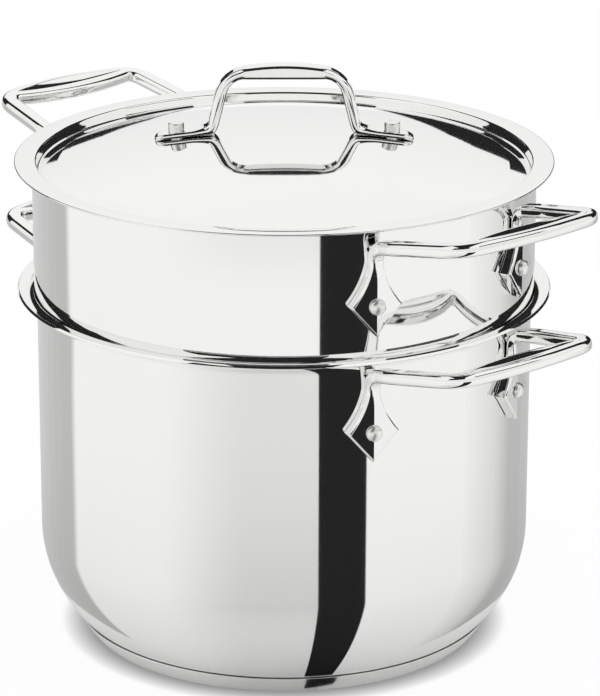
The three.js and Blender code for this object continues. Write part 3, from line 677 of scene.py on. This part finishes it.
def tool(tree, kind, values=(), **settings):
    """A shader node with its settings and socket values."""
    made = tree.nodes.new(kind)
    for key, value in settings.items():
        setattr(made, key, value)
    for key, value in dict(values).items():
        made.inputs[key].default_value = value
    return made


def group(name, inputs, outputs):
    """An empty shader group of values, with its two ends."""
    tree = bpy.data.node_groups.new(name, "ShaderNodeTree")
    for socket, value in inputs:
        made = tree.interface.new_socket(socket, in_out="INPUT", socket_type="NodeSocketFloat")
        made.default_value = value
    for socket in outputs:
        tree.interface.new_socket(socket, in_out="OUTPUT", socket_type="NodeSocketFloat")
    return tree, tree.nodes.new("NodeGroupInput"), tree.nodes.new("NodeGroupOutput")


def make_spun_lines():
    """Fine lines left round the axis by spinning and buffing the sheet."""
    inputs = [("Lines per metre", 1800.0), ("Drift", 6.0)]
    tree, given, result = group("spun lines", inputs, ["Lines"])
    place = tool(tree, "ShaderNodeTexCoord")
    split = tool(tree, "ShaderNodeSeparateXYZ")
    flat = tool(tree, "ShaderNodeCombineXYZ")
    radius = tool(tree, "ShaderNodeVectorMath", operation="LENGTH")
    across = tool(tree, "ShaderNodeMath", operation="MULTIPLY")
    upward = tool(tree, "ShaderNodeMath", operation="MULTIPLY")
    sum_xy = tool(tree, "ShaderNodeMath", operation="ADD")
    drift = tool(tree, "ShaderNodeMath", operation="MULTIPLY")
    lines = tool(tree, "ShaderNodeCombineXYZ")
    noise = tool(tree, "ShaderNodeTexNoise", {"Scale": 1.0, "Detail": 3.0, "Roughness": 0.6})
    joined(
        tree, (place.outputs["Object"], split.inputs[0]),
        (split.outputs["X"], flat.inputs["X"]), (split.outputs["Y"], flat.inputs["Y"]),
        (flat.outputs[0], radius.inputs[0]), (radius.outputs["Value"], across.inputs[0]),
        (given.outputs["Lines per metre"], across.inputs[1]),
        (given.outputs["Lines per metre"], upward.inputs[1]),
        (split.outputs["Z"], upward.inputs[0]), (split.outputs["X"], sum_xy.inputs[0]),
        (split.outputs["Y"], sum_xy.inputs[1]), (sum_xy.outputs[0], drift.inputs[0]),
        (given.outputs["Drift"], drift.inputs[1]), (across.outputs[0], lines.inputs["X"]),
        (drift.outputs[0], lines.inputs["Y"]), (upward.outputs[0], lines.inputs["Z"]),
        (lines.outputs[0], noise.inputs["Vector"]), (noise.outputs["Fac"], result.inputs["Lines"]),
    )
    return tree


def make_handling_haze():
    """Soft cloudy marks that wiping leaves on polished steel."""
    tree, given, result = group("handling haze", [("Marks per metre", 14.0)], ["Haze"])
    place = tool(tree, "ShaderNodeTexCoord")
    look = {"Detail": 4.0, "Roughness": 0.55, "Distortion": 0.6}
    clouds = tool(tree, "ShaderNodeTexNoise", look)
    joined(
        tree, (place.outputs["Object"], clouds.inputs["Vector"]),
        (given.outputs["Marks per metre"], clouds.inputs["Scale"]),
        (clouds.outputs["Fac"], result.inputs["Haze"]),
    )
    return tree


def make_rubbed_edges():
    """Where handling has rubbed a raised edge brighter."""
    tree, given, result = group("rubbed edges", [("Reach", 0.06)], ["Rubbed"])
    shape = tool(tree, "ShaderNodeNewGeometry")
    low = tool(tree, "ShaderNodeMath", {0: 0.5}, operation="ADD")
    span = tool(tree, "ShaderNodeMapRange", {"To Min": 0.0, "To Max": 1.0, "From Min": 0.5})
    joined(
        tree, (given.outputs["Reach"], low.inputs[1]), (low.outputs[0], span.inputs["From Max"]),
        (shape.outputs["Pointiness"], span.inputs["Value"]),
        (span.outputs["Result"], result.inputs["Rubbed"]),
    )
    return tree


SPUN_LINES = make_spun_lines()
HANDLING_HAZE = make_handling_haze()
RUBBED_EDGES = make_rubbed_edges()


def span_map(tree, start, end, low, high, **settings):
    """A map from one span of values to another."""
    values = {"From Min": start, "From Max": end, "To Min": low, "To Max": high}
    return tool(tree, "ShaderNodeMapRange", values, **settings)


def metal(name, clean, hazed, smooth, dull, lines, drift, relief, marks, edges=None):
    """A steel finish: tint and gloss from haze, relief from its tool lines."""
    finish = bpy.data.materials.new(name)
    finish.use_nodes = True
    tree = finish.node_tree
    shader = tree.nodes["Principled BSDF"]
    shader.inputs["Metallic"].default_value = 1.0
    haze = tool(tree, "ShaderNodeGroup", {"Marks per metre": marks}, node_tree=HANDLING_HAZE)
    grain = tool(tree, "ShaderNodeGroup", {"Lines per metre": lines, "Drift": drift},
                 node_tree=SPUN_LINES)
    tint = tool(tree, "ShaderNodeMix", data_type="RGBA")
    tint.inputs[6].default_value, tint.inputs[7].default_value = (*clean, 1), (*hazed, 1)
    gloss = span_map(tree, 0.3, 0.7, smooth, dull)
    blend = tool(tree, "ShaderNodeMath", {1: 0.35}, operation="MULTIPLY_ADD")
    bump = tool(tree, "ShaderNodeBump", {"Strength": relief, "Distance": 0.0002})
    joined(
        tree, (haze.outputs["Haze"], tint.inputs[0]),
        (tint.outputs[2], shader.inputs["Base Color"]),
        (grain.outputs["Lines"], blend.inputs[0]), (haze.outputs["Haze"], blend.inputs[2]),
        (blend.outputs[0], gloss.inputs["Value"]), (grain.outputs["Lines"], bump.inputs["Height"]),
        (bump.outputs["Normal"], shader.inputs["Normal"]),
    )
    roughness = gloss.outputs["Result"]
    if edges:
        rubbed = tool(tree, "ShaderNodeGroup", {"Reach": edges}, node_tree=RUBBED_EDGES)
        keep = span_map(tree, 0.0, 1.0, 1.0, 0.55)
        gain = tool(tree, "ShaderNodeMath", operation="MULTIPLY")
        joined(
            tree, (rubbed.outputs["Rubbed"], keep.inputs["Value"]), (roughness, gain.inputs[0]),
            (keep.outputs["Result"], gain.inputs[1]),
        )
        roughness = gain.outputs[0]
    joined(tree, (roughness, shader.inputs["Roughness"]))
    return finish


buffed_sheet = metal(
    "buffed sheet steel", clean=(0.905, 0.905, 0.895), hazed=(0.88, 0.88, 0.87),
    smooth=0.02, dull=0.05, lines=1500, drift=5, relief=0.012, marks=11,
)
polished_cast = metal(
    "polished cast steel", clean=(0.90, 0.90, 0.89), hazed=(0.865, 0.865, 0.855),
    smooth=0.02, dull=0.05, lines=300, drift=40, relief=0.015, marks=26, edges=0.05,
)
riveted_steel = metal(
    "riveted steel", clean=(0.89, 0.89, 0.88), hazed=(0.85, 0.85, 0.84),
    smooth=0.28, dull=0.36, lines=900, drift=30, relief=0.012, marks=60,
)
base_steel = metal(
    "turned base steel", clean=(0.86, 0.86, 0.85), hazed=(0.80, 0.80, 0.79),
    smooth=0.14, dull=0.24, lines=1100, drift=4, relief=0.08, marks=18,
)
core_aluminium = metal(
    "core aluminium", clean=(0.86, 0.865, 0.87), hazed=(0.80, 0.805, 0.81),
    smooth=0.3, dull=0.45, lines=800, drift=4, relief=0.1, marks=30,
)


# Stage

def stage_card(name, corners, finish, glossy_only=True):
    """A flat card beside the pot, as a rule seen only in the polished steel."""
    bm = bmesh.new()
    bm.faces.new([bm.verts.new(p) for p in corners])
    mesh = bpy.data.meshes.new(name)
    bm.to_mesh(mesh)
    bm.free()
    mesh.materials.append(finish)
    card = bpy.data.objects.new(name, mesh)
    scene.collection.objects.link(card)
    if glossy_only:
        card.visible_camera = card.visible_diffuse = card.visible_shadow = False
        card.visible_transmission = card.visible_volume_scatter = False


def plain(name, colour):
    """A matt paper of one colour."""
    finish = bpy.data.materials.new(name)
    finish.use_nodes = True
    tree = finish.node_tree
    tree.nodes.clear()
    flat = tool(tree, "ShaderNodeBsdfDiffuse", {"Color": (*colour, 1)})
    out = tool(tree, "ShaderNodeOutputMaterial")
    joined(tree, (flat.outputs[0], out.inputs["Surface"]))
    return finish


def studio_floor():
    """White floor: seen by the camera as white paper with a painted contact shadow."""
    finish = plain("white paper", (1, 1, 1))
    tree = finish.node_tree
    paper, out = tree.nodes["Diffuse BSDF"], tree.nodes["Material Output"]
    # Painted contact shadow: for camera rays the floor glows white, darkened by ambient occlusion
    # near the pot.
    near = tool(tree, "ShaderNodeAmbientOcclusion", {"Distance": 0.012}, samples=16)
    fall = span_map(tree, 0.25, 0.95, 0.3, 1.0)
    white = tool(tree, "ShaderNodeEmission", {"Strength": 1.0})
    seen = tool(tree, "ShaderNodeLightPath")
    share = tool(tree, "ShaderNodeMath", {1: 0.93}, operation="MULTIPLY")
    mix = tool(tree, "ShaderNodeMixShader")
    joined(
        tree, (near.outputs["AO"], fall.inputs["Value"]),
        (fall.outputs["Result"], white.inputs["Color"]),
        (seen.outputs["Is Camera Ray"], share.inputs[0]), (share.outputs[0], mix.inputs["Fac"]),
        (paper.outputs[0], mix.inputs[1]), (white.outputs[0], mix.inputs[2]),
        (mix.outputs[0], out.inputs["Surface"]),
    )
    stage_card("floor", [(-4, -4, 0), (4, -4, 0), (4, 4, 0), (-4, 4, 0)], finish, False)


# Stage distances in millimetres, and turns in degrees from the camera.
VIEW_TURN = math.radians(49.4)
EYE_AWAY = 1500
WALL_AWAY = CEILING = 2600
FRONT_AWAY = 6000
SIDES = (("left", -1), ("right", 1))
FLAG_FLOOR, GREY_FLOOR, SOFT_FLOOR = 0.6, 0.4, 0.3
SOFT_CENTRE, SOFT_REACH, SOFT_TURNS = 55, 1800, (-75, -55, -35, -15, 5, 24)
SOFT_FROM, SOFT_TO = math.radians(-62), math.radians(-14)
SOFT_TONES = (
    (0.08, 0.5), (0.16, 1.0), (0.30, 0.72), (0.44, 0.62), (0.53, 0.0), (0.66, 0.0), (0.75, 0.3),
)
PAPER_NEAR, PAPER_FAR, TONE_STEP, PANEL_TURN = -15, 1500, 0.025, 10
LEFT_GREYS = ((-55.2, 0.98), (-57.2, 0.56), (-62, 0.57), (-87, 0.72))
RIGHT_GREYS = ((45, 0.98), (56, 0.80), (64, 0.54), (87, 0.62))
BACK_SLANTS = {
    "left": ((150, 10), (205, 110), (270, 270), (360, 405), (420, 500), (580, 640), (740, 760),
             (900, 1040)),
    "right": ((150, 10), (205, 146), (280, 322), (390, 570), (500, 741), (800, 982)),
}
BACK_OUTSIDE = ((1500, 1350), (1700, CEILING), (2600, CEILING), (2600, 10))
TOP_CORNERS = ((450, -1000), (3000, -1000), (3000, -3500), (1450, -3500))
CEILING_CORNERS = ((-1050, 2500), (1050, 2500), (1050, -1000), (-1050, -1000))


def from_view(aside, toward, height):
    """A point given to the camera's right and towards it, in millimetres."""
    return (Matrix.Rotation(VIEW_TURN, 3, "Z") @ Vector((aside, -toward, height))) * MM


def painted_floor_shadow():
    """Painted shadow of the pot on the floor: paper that greys softly from the left up to the
    black flag.
    """
    finish = plain("painted shadow paper", (1, 1, 1))
    tree = finish.node_tree
    # Painted shade: the paper darkens by its distance and turn from a point in front of the pot,
    # as the pot's soft shadow would.
    centre = from_view(0, SOFT_CENTRE, 0)
    ahead = VIEW_TURN - math.pi / 2
    place, split = tool(tree, "ShaderNodeTexCoord"), tool(tree, "ShaderNodeSeparateXYZ")
    back = {1: (-centre.x, -centre.y, 0)}
    shift = tool(tree, "ShaderNodeVectorMath", back, operation="ADD")
    away = tool(tree, "ShaderNodeVectorMath", operation="LENGTH")
    turn = tool(tree, "ShaderNodeMath", operation="ARCTAN2")
    side = span_map(tree, ahead + SOFT_FROM, ahead + SOFT_TO, 0.0, 1.0,
                    interpolation_type="SMOOTHSTEP")
    reach = tool(tree, "ShaderNodeValToRGB")
    marks = reach.color_ramp.elements
    marks[0].position, marks[1].position = SOFT_TONES[0][0], SOFT_TONES[-1][0]
    for spot, _ in SOFT_TONES[1:-1]:
        marks.new(spot)
    for mark, (_, value) in zip(marks, SOFT_TONES):
        mark.color = (value, value, value, 1)
    both = tool(tree, "ShaderNodeMath", operation="MULTIPLY")
    tone = span_map(tree, 0.0, 1.0, 1.0, 0.72)
    joined(
        tree, (place.outputs["Object"], shift.inputs[0]), (shift.outputs[0], split.inputs[0]),
        (shift.outputs[0], away.inputs[0]), (split.outputs["Y"], turn.inputs[0]),
        (split.outputs["X"], turn.inputs[1]), (turn.outputs[0], side.inputs["Value"]),
        (away.outputs["Value"], reach.inputs["Fac"]), (side.outputs["Result"], both.inputs[0]),
        (reach.outputs["Color"], both.inputs[1]), (both.outputs[0], tone.inputs["Value"]),
        (tone.outputs["Result"], tree.nodes["Diffuse BSDF"].inputs["Color"]),
    )
    return finish


def on_floor(turn, length, height):
    """A point that the wall mirrors: out from it at a turn from the camera."""
    start = Vector((math.sin(turn), math.cos(turn))) * POT_OUTER
    bearing = 2 * turn + math.atan2(start.x, EYE_AWAY)
    start += length * Vector((math.sin(bearing), math.cos(bearing)))
    return from_view(start.x, start.y, height)


def floor_card(name, first, last, near, far, finish, height):
    """A floor paper between two turns, mirrored upright in the wall."""
    first, last = math.radians(first), math.radians(last)
    corners = ((first, near), (first, far), (last, far), (last, near))
    stage_card(name, [on_floor(*corner, height) for corner in corners], finish)


def graded_paper(name, marks):
    """Paper that greys between marks (turn, tone) in steps too fine to see."""
    for (first, tone), (last, end) in zip(marks, marks[1:]):
        count = max(1, round(abs(end - tone) / TONE_STEP))
        for i in range(count):
            a, b = (first + (last - first) * (i + k) / count for k in (0, 1))
            grey = plain(f"{name} {a:.1f}", (tone + (end - tone) * (i + 0.5) / count,) * 3)
            floor_card(f"{name}_{a:.1f}", a, b, PAPER_NEAR, PAPER_FAR, grey, GREY_FLOOR)


def wall_flag(name, start, end, low, high, finish, far=WALL_AWAY):
    """A flag bent round the stage between two turns, in flat panels."""
    count = max(1, round(abs(end - start) / PANEL_TURN))
    for i in range(count):
        a, b = (math.radians(start + (end - start) * (i + k) / count) for k in (0, 1))
        stage_card(f"{name}_{i}", [
            from_view(far * math.sin(turn), far * math.cos(turn), height)
            for turn, height in ((a, low), (b, low), (b, high), (a, high))
        ], finish)


def studio_flags():
    """Black flags, grey papers and a painted floor shadow that only the polished steel sees."""
    black = plain("black flag", (0.02, 0.02, 0.02))
    floor_card("floor_flag", first=7.65, last=18.57, near=-21, far=2500,
               finish=black, height=FLAG_FLOOR)
    floor_card("far_foot_flag", first=58.2, last=61.8, near=545, far=690,
               finish=black, height=FLAG_FLOOR)
    turns = [math.radians(a) for a in SOFT_TURNS]
    # A painted shadow: a grey card near the pot, seen only in the polished steel.
    stage_card("painted_shadow_floor", [from_view(0, SOFT_CENTRE, SOFT_FLOOR)] + [
        from_view(SOFT_REACH * math.sin(a), SOFT_CENTRE + SOFT_REACH * math.cos(a), SOFT_FLOOR)
        for a in turns
    ], painted_floor_shadow())
    graded_paper("left_paper", LEFT_GREYS)
    graded_paper("right_paper", RIGHT_GREYS)
    wall_flag("front_flag", start=-46, end=20, low=2150, high=6200, finish=black, far=FRONT_AWAY)
    wall_flag("right_flag", start=46, end=85, low=980, high=1500, finish=black)
    for name, side in SIDES:
        wall_flag(f"side_{name}_flag", start=113 * side, end=137 * side,
                  low=10, high=CEILING, finish=black)
        back = [from_view(x * side, -WALL_AWAY, z) for x, z in BACK_SLANTS[name] + BACK_OUTSIDE]
        stage_card(f"back_{name}_flag", back, black)
        top = [from_view(x * side, toward, CEILING) for x, toward in TOP_CORNERS]
        stage_card(f"top_{name}_flag", top, black)
    over = [from_view(x, toward, CEILING) for x, toward in CEILING_CORNERS]
    stage_card("ceiling_flag", over, black)


def white_room():
    """A white room, a little greyer towards its horizon."""
    world = bpy.data.worlds.new("white room")
    world.use_nodes = True
    tree = world.node_tree
    place, split = tool(tree, "ShaderNodeTexCoord"), tool(tree, "ShaderNodeSeparateXYZ")
    tone = span_map(tree, 0.0, 0.5, 0.88, 1.0)
    joined(
        tree, (place.outputs["Generated"], split.inputs[0]),
        (split.outputs["Z"], tone.inputs["Value"]),
        (tone.outputs["Result"], tree.nodes["Background"].inputs["Color"]),
    )
    scene.world = world
    scene.view_settings.view_transform = "Standard"


def camera_in_front():
    """The picture's camera: far off, a little above, with a long lens."""
    pitch, yaw, roll = 0.3284, 0.0045, 0.0022
    sensor, focal_pixels, picture_pixels = 36.0, 3728.26, 696
    level = math.cos(pitch)
    ahead = Vector((math.sin(yaw) * level, math.cos(yaw) * level, -math.sin(pitch)))
    aside = Vector((math.cos(yaw), -math.sin(yaw), 0))
    over = aside.cross(ahead)
    right = aside * math.cos(roll) + over * math.sin(roll)
    top = over * math.cos(roll) - aside * math.sin(roll)
    stand = Matrix((right, top, -ahead)).transposed().to_4x4()
    stand.translation = (0, -1.6, 0.6752)
    camera = bpy.data.objects.new("camera", bpy.data.cameras.new("camera"))
    camera.matrix_world = Matrix.Rotation(VIEW_TURN, 4, "Z") @ stand
    camera.data.sensor_width = sensor
    camera.data.lens = sensor * focal_pixels / picture_pixels
    scene.collection.objects.link(camera)
    scene.camera = camera


camera_in_front()
white_room()
studio_floor()
studio_flags()

pot_shell(buffed_sheet)
base_shell(base_steel)
strainer(buffed_sheet)
lid_shell(buffed_sheet)
side_handles(
    "pot", ("pot_handle_right", "pot_handle_left"), POT_OUTER, POT_TOP, polished_cast)
side_handles(
    "insert", ("insert_handle_right", "insert_handle_left"), BAND, INSERT_TOP, polished_cast)
side_rivets("pot", "pot_rivet", POT_OUTER, POT_TOP, riveted_steel)
side_rivets("insert", "insert_rivet", BAND, INSERT_TOP, riveted_steel)
lid_arch(polished_cast)
lid_pins(riveted_steel)
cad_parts["base_core"].material_slots[0].material = core_aluminium
